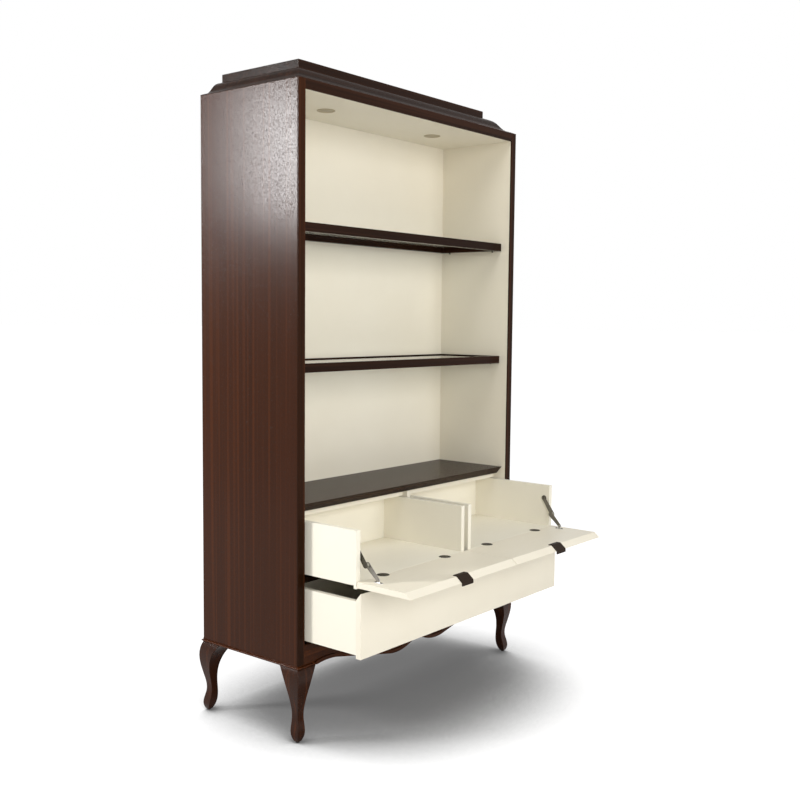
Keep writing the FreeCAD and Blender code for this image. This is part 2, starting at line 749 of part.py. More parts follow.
def make_pull(side, upper, lower):
    """A bent plate over the flap's bevel: leaf inside, plate on the bevel, lip turned down."""
    length = root((upper[0] - lower[0]) * (upper[0] - lower[0])
                  + (upper[1] - lower[1]) * (upper[1] - lower[1]))
    along = ((lower[0] - upper[0]) / length, (lower[1] - upper[1]) / length)
    out = (along[1], -along[0])
    plate = d.pull_plate

    def at(base, run):
        return (base[0] + along[0] * run + out[0] * plate,
                base[1] + along[1] * run + out[1] * plate)

    middle = side * (d.flap_seam / 2 + inner - d.slide_play) / 2
    foot = lower[1] - d.pull_lip
    outline = ((upper[0] + d.pull_leaf, upper[1]), upper, lower, (lower[0], foot),
               (lower[0] - plate, foot), at(lower, -plate * (1 + out[0]) / along[0]),
               at(upper, -plate * 0.45), (upper[0] + d.pull_leaf, upper[1] + plate))
    return along_x(label(side) + "_pull", outline,
                   (middle - d.pull_width / 2, middle + d.pull_width / 2))


def arm(name, length, eye, x, start, end):
    """A flat stay arm from one pivot to the wider elbow, with an eye at its start."""
    wide = d.elbow_radius
    steps = [(0, -eye), ((-eye, 0), (0, eye)), (length, wide),
             ((length + wide, 0), (length, -wide))]
    body = slab(name, "YZ_Plane", [steps], 0, x[1] - x[0],
                [((0, 0), d.pivot_radius + d.pivot_play)])
    angle = math.degrees(math.atan2(end[1].value - start[1].value, end[0].value - start[0].value))
    place = Vector(as_size(x[0]).value, start[0].value, start[1].value)
    body.Placement = Placement(place, Rotation(Vector(1, 0, 0), angle))
    return body


def make_stay(side):
    """A folding flap stay: boss on the box wall, two arms and a foot on the flap."""
    name = label(side)
    wall = inner - d.slide_play - d.panel
    boss = (hinge_y + d.boss_back, hinge_z + d.boss_up)
    foot = (hinge_y - d.foot_out, hinge_z + d.foot_up)
    across = (foot[0] - boss[0], foot[1] - boss[1])
    straight = root(across[0] * across[0] + across[1] * across[1])
    long_arm = (straight + d.stay_slack) * d.stay_share
    short_arm = straight + d.stay_slack - long_arm
    run = (straight * straight + long_arm * long_arm - short_arm * short_arm) / (2 * straight)
    sag = root(long_arm * long_arm - run * run)
    elbow = (boss[0] + (across[0] * run - across[1] * sag) / straight,
             boss[1] + (across[1] * run + across[0] * sag) / straight)
    upper = (wall - d.boss_thick - d.stay_gap - d.stay_plate, wall - d.boss_thick - d.stay_gap)
    near = upper[0] - d.drum_thick - d.stay_gap
    lower = (near - d.stay_plate, near)
    lug = (lower[0] - d.stay_gap - d.stay_plate, lower[0] - d.stay_gap)
    disc = rod(f"{name}_stay_disc", d.boss_radius, d.boss_thick,
               (side * (wall - d.boss_thick), *boss), (side, 0, 0))
    pin = rod(f"{name}_stay_pin", d.pivot_radius, wall - upper[0],
              (side * upper[0], *boss), (side, 0, 0))
    bar = arm(f"{name}_stay_upper_bar", long_arm, d.eye_radius, side_span(side, *upper), boss,
              elbow)
    drum = rod(f"{name}_stay_drum", d.drum_radius, d.drum_thick + d.stay_plate,
               (side * (upper[0] - d.drum_thick), *elbow), (side, 0, 0))
    upper_arm = join(f"{name}_stay_upper_arm", [bar, drum])
    lower_arm = arm(f"{name}_stay_lower_arm", short_arm, d.eye_radius - d.pivot_radius / 2,
                    side_span(side, *lower), foot, elbow)
    return [join(f"{name}_stay_boss", [disc, pin]), upper_arm, lower_arm,
            make_stay_foot(side, foot, lug, lower)]


def make_stay_foot(side, foot, lug, lower):
    """The stay's foot: plate on the flap, lug beside the arm and its pivot."""
    name = label(side)
    plate = board(f"{name}_foot_plate", side_span(side, lug[0] - d.foot_width / 2,
                                                  lug[0] + d.foot_width / 2),
                  (foot[0] - d.foot_length / 2, foot[0] + d.foot_length / 2),
                  (hinge_z, hinge_z + d.foot_plate))
    ear = board(f"{name}_foot_ear", side_span(side, *lug),
                (foot[0] - d.eye_radius, foot[0] + d.eye_radius),
                (hinge_z, foot[1] + d.pivot_radius + 1))
    pin = rod(f"{name}_foot_pin", d.pivot_radius, lower[1] - lug[0],
              (side * lug[0], *foot), (side, 0, 0))
    return join(f"{name}_stay_foot", [plate, ear, pin])


def make_drawer():
    """The wide drawer: bevelled front, side and back boards, bottom and sliders."""
    y = (box_front, box_front + d.box_length)
    z = (drawer_low, drawer_low + d.drawer_height)
    far = inner - d.slide_play
    bevel = d.drawer_front_thick * d.bevel_slope
    face = y[0] - d.drawer_front_thick
    high = mid_top + d.drawer_front_over
    outline = ((y[0], drawer_low - d.drawer_front_drop), (y[0], high - bevel),
               (face, high), (face, drawer_low - d.drawer_front_drop))
    front_board = along_x("drawer_front_blank", outline, (-far, far))
    walls = [board("drawer_left_side", (-far, -far + d.panel), y, z),
             board("drawer_right_side", (far - d.panel, far), y, z),
             board("drawer_rear", (-far + d.panel, far - d.panel), (y[1] - d.panel, y[1]), z)]
    bottom = board("drawer_bottom", (-far + d.panel, far - d.panel), (y[0], y[1] - d.panel),
                   (z[0], z[0] + d.box_floor))
    sliders = [runner_slider(f"drawer_slider_{n}", x, bottom_top, z[0], y)
               for n, x in enumerate(runner_places(-far, far))]
    return [eased("drawer_front", front_board, d.ease, lambda e: lies_at(e, "y", face)),
            group("drawer_walls", walls), bottom, group("drawer_runners", sliders)]


def make_channels():
    """All fixed runner channels of the boxes and the drawer."""
    near = d.panel / 2 + d.slide_play
    far = inner - d.slide_play
    channels = [runner_channel(f"channel_{label(side)}_{n}", side * x, mid_top)
                for side in (-1, 1) for n, x in enumerate(runner_places(near, far))]
    channels += [runner_channel(f"channel_drawer_{n}", x, bottom_top)
                 for n, x in enumerate(runner_places(-far, far))]
    return group("carcass_runners", channels)


def check_and_export(nodes):
    """Stop at any failed object, then write each node's solids."""
    doc.recompute()
    failed = [o.Name for o in doc.Objects if {"Invalid", "Error"} & set(o.State)]
    failed += [n.Label for n in nodes if n.Shape.isNull() or not n.Shape.isValid()]
    if failed:
        raise RuntimeError("failed: " + ", ".join(failed))
    os.makedirs("parts", exist_ok=True)
    for node in nodes:
        node.Shape.exportStep(f"parts/{node.Label}.step")
        print(f"{node.Label:28s} {len(node.Shape.Solids)} solid(s) {node.Shape.Volume:14.1f} mm3")
    print(len(nodes), "nodes")


doc = FreeCAD.newDocument("DisplayCabinet")
d = make_sheet()
base_z = d.leg_height + d.base_rail_thick
head_z = base_z + d.carcass_height
half = d.carcass_width / 2
front = (front_reach() - d.carcass_depth - d.knee_out) / 2
rear = front + d.carcass_depth
middle_y = front + d.carcass_depth / 2
inner = half - d.panel - d.liner
ceiling = head_z - d.panel - d.liner
bottom_top = base_z + d.apron_rise + d.bottom_thick
mid_top = bottom_top + d.drawer_bay + d.mid_thick
shelf_top = mid_top + d.box_bay + d.shelf_thick
back_face = front + d.inner_depth
rear_face = rear - d.rear_gap - d.rear_panel
box_closed = front + closed_setback()
box_front = box_closed - d.box_out
box_low = mid_top + d.box_lift
drawer_low = bottom_top + d.drawer_lift
hinge_y = box_front - d.hinge_lead
hinge_z = box_low + d.box_floor

parts = make_carcass() + make_ceiling() + make_cornice() + make_lower_case()
parts += make_glass_shelves() + make_apron() + make_base() + make_legs()
for one_side in (-1, 1):
    parts += make_box(one_side) + make_flap(one_side) + make_stay(one_side)
parts += make_drawer() + [make_channels()]
check_and_export(parts)
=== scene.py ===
"""Looks of the display cabinet: lacquered mahogany and cream board, metal fittings,
white studio, and the camera of the picture. Lengths in metres, in the part's own frame."""
import json
import math

import bmesh
import bpy
from mathutils import Matrix, Vector


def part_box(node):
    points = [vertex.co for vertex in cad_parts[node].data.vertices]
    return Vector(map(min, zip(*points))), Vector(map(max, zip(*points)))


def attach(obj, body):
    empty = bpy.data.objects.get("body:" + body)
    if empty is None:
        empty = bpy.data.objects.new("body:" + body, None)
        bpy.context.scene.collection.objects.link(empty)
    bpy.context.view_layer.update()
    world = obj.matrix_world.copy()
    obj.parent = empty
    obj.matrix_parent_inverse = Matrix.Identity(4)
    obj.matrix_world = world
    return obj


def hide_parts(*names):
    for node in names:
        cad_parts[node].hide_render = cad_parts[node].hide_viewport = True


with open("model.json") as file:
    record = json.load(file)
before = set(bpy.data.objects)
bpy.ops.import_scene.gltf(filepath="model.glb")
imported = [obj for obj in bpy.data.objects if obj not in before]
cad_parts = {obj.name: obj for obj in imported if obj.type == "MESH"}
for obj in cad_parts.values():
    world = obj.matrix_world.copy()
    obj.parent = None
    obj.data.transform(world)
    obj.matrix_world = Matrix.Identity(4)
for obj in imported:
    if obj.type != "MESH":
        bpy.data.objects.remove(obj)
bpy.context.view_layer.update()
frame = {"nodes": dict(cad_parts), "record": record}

NODES = frame["nodes"]
BEHAVIOUR = frame["record"]["behaviour"]
BODY_OF = {node: body for body, members in BEHAVIOUR["bodies"].items() for node in members}
SLOT_OF = {entry["node"]: entry["material_slot"] for entry in frame["record"]["subparts"]}
JOINT_PLACE = {joint["name"]: joint["pos_m"] for joint in BEHAVIOUR["joints"]
               if "pos_m" in joint}
UP = (0, 0, 1)
BACK = (0, 1, 0)

# Meshes: distances that count as none, and angles between faces
WELD = 1e-6
LEVEL = 1e-5
FLAT_ANGLE = math.radians(1)
SMOOTH_ANGLE = math.radians(32)
SHARP_ANGLE = math.radians(35)

# Boards, shelf frames and legs
PANEL = 0.018
BOARD_ARRIS = 0.0008
SHELF_RAIL = 0.024
FRAME_ARRIS = 0.0007
LEG_RIM = 0.0060
LEG_RIM_STEPS = 4

# Base rail: how far its section reaches in, its setbacks, and shares of its height
RAIL_THICK = 0.080
RAIL_QUIRK = 0.0085
RAIL_STEP = 0.0058
RAIL_BEAD = 0.18
RAIL_FOOT = 0.31

# Cornice moulding: its reach in, its land under the block, and its line as (inward, up)
CORNICE_DEEP = 0.106
CORNICE_LAND = 0.012
CORNICE_LINE = ((0, 0), (0, 0.0016), (0.0022, 0.0030), (0.0090, 0.0062), (0.0180, 0.0090),
                (0.0280, 0.0122), (0.0360, 0.0172), (0.0430, 0.0245), (0.0500, 0.0335),
                (0.0570, 0.0415), (0.0650, 0.0480), (0.0740, 0.0525), (0.0830, 0.0552))

# Flap pulls, after the length of the flap's inner face from its hinge edge to its bevel
FLAP_RISE = 0.1845
PULL_PLATE = 0.002
PULL_BEND = 0.003
PULL_BEND_STEPS = 5
PULL_CORNER = 0.003
PULL_CORNER_SHARES = (0.08, 0.3, 0.6, 1.0)
PULL_SCREW_SPREAD = 0.6
PULL_SCREW_SETBACK = 0.007

# Hinge cups: rings as (share of the radius, depth under the face), and the screws' shares
CUP_ASPECT = 20 / 19.5
CUP_FOOT = 0.97
CUP_RINGS = ((1.0, 0.0004), (0.97, 0), (0.86, 0), (0.84, 0.0008), (0.78, 0.0008),
             (0.76, 0.0001), (0.02, 0.0001))
CUP_STEPS = 20
CUP_SCREW_SPREAD = 0.45
CUP_SCREW_ROW = 0.42
CUP_SCREW_DEPTH = 0.0008

# Flap stays
PLATE_ARRIS = 0.0003
STAY_PLATE = 0.0025
STAY_FACE = 0.3
STAY_FACE_INSET = 0.0006
ELBOW_RADIUS = 0.009
EYE_RADIUS = 0.0065
LINK_STEPS = 12

# The stay's foot: plate, ear between two distances from the middle plane, and screws
FOOT_EYE = 0.0056
FOOT_PLATE = 0.0015
FOOT_ARRIS = 0.0004
FOOT_PLAY = 0.0002
FOOT_SCREW_SPREAD = 0.0115
EAR = (0.5309, 0.5334)
EAR_RADIUS = 0.0048
EAR_BASE = 0.0060

# Turned profiles as (radius, height)
RIVET_LINE = ((0.0042, 0), (0.0042, 0.0008), (0.0030, 0.0014))
BOSS_LINE = ((0.010, 0), (0.010, 0.0016), (0.0088, 0.0028), (0.0042, 0.0030), (0.0029, 0.0031))
FOOT_PIN_LINE = ((0.0029, 0), (0.0029, 0.0050))
RIM_LINE = ((0.0250, 0.0140), (0.0252, 0.0020), (0.0310, 0.0018), (0.0310, 0.0008),
            (0.0303, 0.0), (0.0290, 0.0002), (0.0232, 0.0014), (0.0230, 0.0140))
LENS_LINE = ((0.0230, 0.0020), (0.0230, 0.0010), (0.0205, 0.0004), (0.0120, 0.0001),
             (0.0030, 0.0))

# Turned profiles as (share of the radius, height), the screw's height a share too
SCREW_LINE = ((1, 0), (1, 0.18), (0.72, 0.42), (0.34, 0.5), (0.30, 0.12))
DRUM_RADIUS = 0.008
DRUM_WAIST = 0.9
DRUM_EASE = 0.0004
DRUM_LINE = ((1, 0), (1, 0.0012), (DRUM_WAIST, 0.0016), (DRUM_WAIST, 0.0060), (1, 0.0064))
PIN_RADIUS = 0.0025
PIN_LINE = ((1, 0), (1, 0.0016), (0.8, 0.0018), (0.8, 0.0080), (0.6, 0.0088))
GLIDE_RADIUS = 0.007
GLIDE_LINE = ((0.8, 0), (0.95, 0.0008), (1, 0.002))

# Radii of the screw heads
SMALL_SCREW = 0.0028
FOOT_SCREW = 0.0034
REAR_SCREW = 0.0038

# Screws of the rear panel: rows up the sides, and columns along top and bottom
REAR_INSET = 0.009
REAR_ROWS = 9
REAR_ROW_MARGIN = 0.06
REAR_COLUMNS = 4
REAR_COLUMN_MARGIN = 0.15
REAR_LOW_ROW = 0.051

# Layers of wood grain: cells a metre along and across, detail, roughness, distortion
GRAIN = {
    "band": (0.5, 9.0, 4.0, 0.55, 0.4),
    "fibre": (5.0, 230.0, 3.0, 0.6, 0.0),
    "pore": (90.0, 900.0, 2.0, 0.6, 0.0),
    "speck": (130.0, 320.0, 1.0, 0.5, 0.0),
    "streak": (0.5, 78.0, 1.0, 0.5, 0.2),
}

# Noise at which a layer's marks begin and at which they are full
MARKS = {"pore": (0.56, 0.70), "speck": (0.52, 0.68), "streak": (0.52, 0.70)}

# Colour of the wood: shares of the layers, and what is laid over them, last lighter arrises
# that are partly wear and partly a painted highlight on lit edges
BAND_SHARE = 0.75
FIBRE_SHARE = 0.25
TONE_SPAN = (0.30, 0.72)
STREAK_GAIN = 1.8
STREAK_WEIGHT = 0.50
PORE_COLOUR = (0.011, 0.006, 0.004)
PORE_WEIGHT = 0.65
WORN_AND_HIGHLIGHT_COLOUR = (0.12, 0.050, 0.028)
WORN_AND_HIGHLIGHT_WEIGHT = 0.35
WORN_AND_HIGHLIGHT_WIDTH = 0.0015

# Gloss and relief of the wood
FIBRE_SPAN = (0.2, 0.8)
FIBRE_ROUGH = (0.18, 0.21)
SPECK_ROUGH = 0.07
PORE_ROUGH = 0.06
FIBRE_HEIGHT = 0.35
SPECK_HEIGHT = 0.20
WOOD_RELIEF = 0.00012
WOOD_BUMP = 0.8

# Tones of the wood as dark, red and sheen
PANEL_TONE = ((0.031, 0.0075, 0.0010), (0.042, 0.0101, 0.0016), 0.096)
LEG_TONE = ((0.021, 0.0052, 0.0007), (0.041, 0.0096, 0.0014), 0.145)
# Base rails lighter and redder than the other wood: a painted highlight for the light their
# bead catches
RAIL_PAINTED_HIGHLIGHT_TONE = ((0.042, 0.0110, 0.0022), (0.074, 0.0185, 0.0040), 0.12)
BOARD_TONE = ((0.028, 0.0086, 0.0025), (0.060, 0.0162, 0.0040), 0.055)
# Stiles, front rail, shelves, shelf frames and cornice darker than the side panels: painted
# shade for their front faces, which take less light than the sides
STILE_PAINTED_SHADE_TONE = ((0.018, 0.0068, 0.0028), (0.038, 0.0118, 0.0042), 0.035)
EDGE_PAINTED_SHADE_TONE = ((0.0120, 0.0058, 0.0034), (0.025, 0.0098, 0.0052), 0.035)
CORNICE_PAINTED_SHADE_TONE = (*EDGE_PAINTED_SHADE_TONE[:2], 0.012)
BLOCK_PAINTED_SHADE_TONE = (*EDGE_PAINTED_SHADE_TONE[:2], 0.048)

# Camera
CAMERA_PLACE = (-2.8250, -2.2218, 1.3408)
CAMERA_YAW = math.radians(51.005)
CAMERA_PITCH = math.radians(-4.565)
CAMERA_ROLL = math.radians(0.539)
CAMERA_LENS = 45.88
CAMERA_SENSOR = 36
CAMERA_FAR = 200

# Softboxes: place, target, size and power in watts
LAMPS = {
    "key": ((-4.07, 3.35, 2.62), (-0.6, 0.0, 1.8), (0.75, 1.0), 224),
    "front_left": ((-2.4, -4.6, 2.2), (0, 0, 1.1), (2.8, 2.8), 100),
    "front_right": ((0.8, -4.9, 2.3), (0, 0, 1.1), (2.4, 2.4), 70),
    "above": ((-0.9, -0.9, 3.7), (-0.3, -0.4, 0.5), (1.4, 1.4), 30),
}

# Air: its strength as a lamp, and its colour
AMBIENT = 0.36
WHITE = (1, 1, 1, 1)

# Floor: its reach, and its colour for the lamps, where seen, and close to the cabinet, where a
# darker colour is painted shadow
FLOOR_SIZE = 120
FLOOR_COLOUR = (0.80, 0.80, 0.80)
FLOOR_SEEN = (0.28, 0.28, 0.28)
FLOOR_PAINTED_SHADOW = (0.13, 0.13, 0.13)

# The floor's glow in the open and in the painted shadow near the cabinet, and the reach, span
# and samples of the ambient occlusion that paints that shadow
FLOOR_GLOW = 0.95
FLOOR_SHADE = 0.10
SHADOW_REACH = 0.70
SHADOW_SPAN = (0.32, 0.94)
SHADOW_SAMPLES = 24


class Shader:
    """A node-based surface under construction."""

    def __init__(self, name):
        self.material = bpy.data.materials.new(name)
        self.material.use_nodes = True
        self.tree = self.material.node_tree
        self.tree.nodes.clear()
        self.output = self.tree.nodes.new("ShaderNodeOutputMaterial")

    def node(self, kind, settings=None, **inputs):
        """A node with its settings, and its inputs set or linked by name."""
        node = self.tree.nodes.new(kind)
        for key, value in (settings or {}).items():
            setattr(node, key, value)
        for key, value in inputs.items():
            self.feed(node.inputs[key.replace("_", " ")], value)
        return node

    def feed(self, socket, value):
        """Set a socket, or link it from another one."""
        if isinstance(value, bpy.types.NodeSocket):
            self.tree.links.new(value, socket)
        else:
            socket.default_value = value

    def stretched(self, scale):
        """Position on the piece, scaled along each axis."""
        place = self.node("ShaderNodeTexCoord").outputs["Object"]
        mapping = self.node("ShaderNodeMapping", Scale=scale)
        self.feed(mapping.inputs["Vector"], place)
        return mapping.outputs["Vector"]

    def noise(self, scale, detail, roughness=0.5, distortion=0.0):
        """Noise from 0 to 1, at so many cells a metre along each axis."""
        return self.node("ShaderNodeTexNoise", Vector=self.stretched(scale), Scale=1.0,
                         Detail=detail, Roughness=roughness,
                         Distortion=distortion).outputs["Fac"]

    def ramp(self, factor, low, high, start=0.0, end=1.0):
        """A value mapped from one range to another, and held there."""
        node = self.node("ShaderNodeMapRange", {"interpolation_type": "SMOOTHSTEP"})
        for key, value in (("Value", factor), ("From Min", low), ("From Max", high),
                           ("To Min", start), ("To Max", end)):
            self.feed(node.inputs[key], value)
        return node.outputs["Result"]

    def math(self, operation, first, second):
        """A sum, product or the like of two values."""
        node = self.node("ShaderNodeMath", {"operation": operation})
        self.feed(node.inputs[0], first)
        self.feed(node.inputs[1], second)
        return node.outputs["Value"]

    def times(self, first, second):
        """The product of two values."""
        return self.math("MULTIPLY", first, second)

    def blend(self, factor, first, second):
        """One colour where factor is 0 and the other where it is 1."""
        node = self.node("ShaderNodeMix", {"data_type": "RGBA"})
        self.feed(node.inputs["Factor"], factor)
        for socket, value in ((node.inputs[6], first), (node.inputs[7], second)):
            self.feed(socket, value if isinstance(value, bpy.types.NodeSocket) else (*value, 1))
        return node.outputs[2]

    def arris(self, width):
        """1 on sharp edges, 0 on flat ground."""
        bevelled = self.node("ShaderNodeBevel", {"samples": 4}, Radius=width).outputs["Normal"]
        plain = self.node("ShaderNodeNewGeometry").outputs["Normal"]
        dot = self.node("ShaderNodeVectorMath", {"operation": "DOT_PRODUCT"})
        self.feed(dot.inputs[0], bevelled)
        self.feed(dot.inputs[1], plain)
        return self.ramp(dot.outputs["Value"], low=0.99, high=0.80)

    def bump(self, height, depth, strength):
        """A surface normal from a height of so many metres."""
        return self.node("ShaderNodeBump", Height=height, Distance=depth,
                         Strength=strength).outputs["Normal"]

    def finish(self, **inputs):
        """The surface itself."""
        surface = self.node("ShaderNodeBsdfPrincipled")
        for key, value in inputs.items():
            self.feed(surface.inputs[key.replace("_", " ")], value)
        self.tree.links.new(surface.outputs["BSDF"], self.output.inputs["Surface"])
        return self.material


def along(axis, run, across):
    """Cells a metre: run along the grain's axis and across on the other two."""
    return tuple(run if name == axis else across for name in "xyz")


def even(cells):
    """As many cells a metre along every axis."""
    return (cells, cells, cells)


def tinted(colour, gain):
    """A colour made brighter or darker."""
    return tuple(gain * part for part in colour)


def mahogany(name, axis, dark, red, sheen):
    """Stained and lacquered mahogany with its grain along one axis."""
    shader = Shader(name)
    grain = {layer: shader.noise(along(axis, run, across), *rest)
             for layer, (run, across, *rest) in GRAIN.items()}
    mark = {layer: shader.ramp(grain[layer], *span) for layer, span in MARKS.items()}
    fibre = grain["fibre"]
    tone = shader.math("ADD", shader.times(grain["band"], BAND_SHARE),
                       shader.times(fibre, FIBRE_SHARE))
    colour = shader.blend(shader.ramp(tone, *TONE_SPAN), dark, red)
    # Laid over the tone: streaks, pores, and lighter arrises, partly wear and partly a painted
    # highlight
    for mask, weight, tint in ((mark["streak"], STREAK_WEIGHT, tinted(red, STREAK_GAIN)),
                               (mark["pore"], PORE_WEIGHT, PORE_COLOUR),
                               (shader.arris(WORN_AND_HIGHLIGHT_WIDTH), WORN_AND_HIGHLIGHT_WEIGHT, WORN_AND_HIGHLIGHT_COLOUR)):
        colour = shader.blend(shader.times(mask, weight), colour, tint)
    rough = shader.ramp(fibre, *FIBRE_SPAN, *FIBRE_ROUGH)
    rough = shader.math("ADD", rough, shader.times(mark["speck"], SPECK_ROUGH))
    rough = shader.math("ADD", rough, shader.times(mark["pore"], PORE_ROUGH))
    height = shader.math("SUBTRACT", shader.times(fibre, FIBRE_HEIGHT), mark["pore"])
    height = shader.math("SUBTRACT", height, shader.times(mark["speck"], SPECK_HEIGHT))
    return shader.finish(Base_Color=colour, Roughness=rough, Specular_IOR_Level=sheen,
                         Normal=shader.bump(height, WOOD_RELIEF, WOOD_BUMP))


def lacquer(name, base, shade, rough=0.42):
    """Sprayed lacquer on board: faint mottling, orange peel and softly rubbed edges."""
    shader = Shader(name)
    cloud = shader.noise(even(2.6), detail=3.0)
    brush = shader.noise((7.0, 60.0, 60.0), detail=3.0, roughness=0.6)
    peel = shader.noise(even(420.0), detail=1.0)
    faint = shader.ramp(brush, low=0.60, high=0.85, end=0.10)
    rubbed = shader.times(shader.arris(width=0.0012), 0.22)
    colour = shader.blend(shader.ramp(cloud, low=0.25, high=0.75), base, shade)
    colour = shader.blend(faint, colour, tinted(shade, gain=0.86))
    colour = shader.blend(rubbed, colour, tinted(base, gain=1.10))
    return shader.finish(Base_Color=colour, Specular_IOR_Level=0.45,
                         Roughness=shader.ramp(brush, 0.2, 0.8, rough - 0.04, rough + 0.05),
                         Normal=shader.bump(peel, depth=0.00006, strength=0.35))


def metal(name, colour, rough, axis):
    """Plated metal with brushed lines, rubbed brighter at its edges."""
    shader = Shader(name)
    line = shader.noise(along(axis, 60.0, 2600.0), detail=2.0, roughness=0.6)
    stain = shader.noise(even(90.0), detail=3.0)
    dull = shader.ramp(stain, low=0.35, high=0.7, end=0.5)
    rubbed = shader.times(shader.arris(width=0.0006), 0.5)
    tint = shader.blend(dull, colour, tinted(colour, gain=0.72))
    tint = shader.blend(rubbed, tint, tinted(colour, gain=1.5))
    return shader.finish(Base_Color=tint, Metallic=1.0,
                         Roughness=shader.ramp(line, 0.2, 0.8, rough - 0.08, rough + 0.10),
                         Normal=shader.bump(line, depth=0.00003, strength=0.5))


def bronze(name, colour, rough, sheen):
    """Dark bronze lacquer over metal, worn to a warmer brown at the edges."""
    shader = Shader(name)
    cloud = shader.noise(even(140.0), detail=3.0)
    grit = shader.noise(even(1500.0), detail=1.0)
    worn = shader.times(shader.arris(width=0.0008), 0.55)
    tint = shader.blend(shader.ramp(cloud, low=0.3, high=0.7), colour, tinted(colour, gain=1.5))
    tint = shader.blend(worn, tint, tinted(colour, gain=3.0))
    return shader.finish(Base_Color=tint, Metallic=0.15, Specular_IOR_Level=sheen,
                         Roughness=shader.ramp(cloud, 0.3, 0.7, rough, rough + 0.12),
                         Normal=shader.bump(grit, depth=0.00004, strength=0.4))


def plastic(name, colour, rough):
    """Moulded plastic with a fine grained skin."""
    shader = Shader(name)
    grain = shader.noise(even(900.0), detail=2.0)
    cloud = shader.noise(even(25.0), detail=2.0)
    return shader.finish(Base_Color=shader.blend(cloud, colour, tinted(colour, gain=0.90)),
                         Specular_IOR_Level=0.4,
                         Roughness=shader.ramp(grain, 0.3, 0.7, rough - 0.05, rough + 0.08),
                         Normal=shader.bump(grain, depth=0.00005, strength=0.4))


def shelf_glass(name):
    """Clear float glass, slightly green, with faint wiping marks."""
    shader = Shader(name)
    smear = shader.noise((5.0, 14.0, 5.0), detail=4.0, roughness=0.6)
    tint = shader.blend(smear, (0.90, 0.95, 0.92), (0.86, 0.92, 0.89))
    return shader.finish(Base_Color=tint, Transmission_Weight=1.0, IOR=1.5,
                         Roughness=shader.ramp(smear, low=0.4, high=0.8, end=0.03))


# The finish of each slot, and finishes that only some of a slot's pieces have
MATERIALS = {
    "panel": mahogany("mahogany_panel", "z", *PANEL_TONE),
    "leg": mahogany("leg_mahogany", "z", *LEG_TONE),
    # Base rails: their lighter tone is a painted highlight
    "rail": mahogany("rail_mahogany", "y", *RAIL_PAINTED_HIGHLIGHT_TONE),
    "board_z": mahogany("mahogany_upright", "z", *BOARD_TONE),
    "board_x": mahogany("mahogany_across", "x", *BOARD_TONE),
    # Front-facing wood in darker tones: painted shade
    "stile": mahogany("stile_mahogany", "z", *STILE_PAINTED_SHADE_TONE),
    "edge_x": mahogany("edging_across", "x", *EDGE_PAINTED_SHADE_TONE),
    "block": mahogany("block_mahogany", "x", *BLOCK_PAINTED_SHADE_TONE),
    "edge_y": mahogany("edging_deep", "y", *EDGE_PAINTED_SHADE_TONE),
    "cornice": mahogany("cornice_mahogany", "x", *CORNICE_PAINTED_SHADE_TONE),
    "cream": lacquer("cream_lacquer", (0.83, 0.775, 0.645), (0.80, 0.74, 0.605)),
    "box_white": lacquer("box_lacquer", (0.86, 0.82, 0.70), (0.83, 0.785, 0.66)),
    "smoked_glass": shelf_glass("shelf_glass"),
    "steel": metal("stay_steel", (0.24, 0.225, 0.20), 0.42, "z"),
    # Dark steel for screws and the boss cap, and as painted shade on the outer part of the
    # upper stay arm
    "steel_dark_and_painted_shade": metal("stay_dark_steel", (0.10, 0.092, 0.075), 0.45, "y"),
    "drum": metal("stay_drum", (0.46, 0.44, 0.36), 0.40, "x"),
    "foot": metal("foot_steel", (0.62, 0.62, 0.62), 0.30, "y"),
    "zinc": metal("runner_zinc", (0.56, 0.57, 0.58), 0.34, "y"),
    "bronze": bronze("pull_bronze", (0.017, 0.010, 0.006), 0.50, 0.08),
    "cup": bronze("cup_bronze", (0.024, 0.019, 0.013), 0.42, 0.22),
    "light_rim": lacquer("light_rim", (0.42, 0.35, 0.22), (0.38, 0.31, 0.19), 0.45),
    "light_lens": plastic("light_lens", (0.40, 0.34, 0.23), 0.40),
    "glide": plastic("glide", (0.030, 0.028, 0.026), 0.55),
}

WOODS = {
    "panel": ("side_panel_left", "side_panel_right"),
    "leg": ("leg_front_left", "leg_front_right", "leg_rear_left", "leg_rear_right"),
    "rail": ("base_rail_left", "base_rail_right"),
    "board_z": ("rear_panel",),
    "board_x": ("carcass_top", "bottom_panel", "apron"),
    "stile": ("front_stile_left", "front_stile_right"),
    "edge_x": ("front_top_rail", "fixed_shelf", "mid_shelf", "upper_shelf_frame",
               "lower_shelf_frame"),
    "block": ("cornice_block",),
    "cornice": ("cornice_moulding",),
}
WOOD_OF = {node: wood for wood, nodes in WOODS.items() for node in nodes}

BOARDS = ("side_panel_left", "side_panel_right", "front_stile_left", "front_stile_right",
          "front_top_rail", "fixed_shelf", "mid_shelf", "bottom_panel", "centre_divider",
          "left_box_floor", "right_box_floor", "left_flap", "right_flap", "drawer_bottom",
          "drawer_front", "apron")
SHELF_FRAMES = ("upper_shelf_frame", "lower_shelf_frame")


def material_of(node):
    """The finish of a CAD node."""
    slot = SLOT_OF[node]
    if slot == "mahogany":
        return MATERIALS[WOOD_OF[node]]
    if "runners" in node:
        return MATERIALS["zinc"]
    return MATERIALS[slot]


def paint(piece, material):
    """Give a piece one material."""
    piece.data.materials.clear()
    piece.data.materials.append(material)


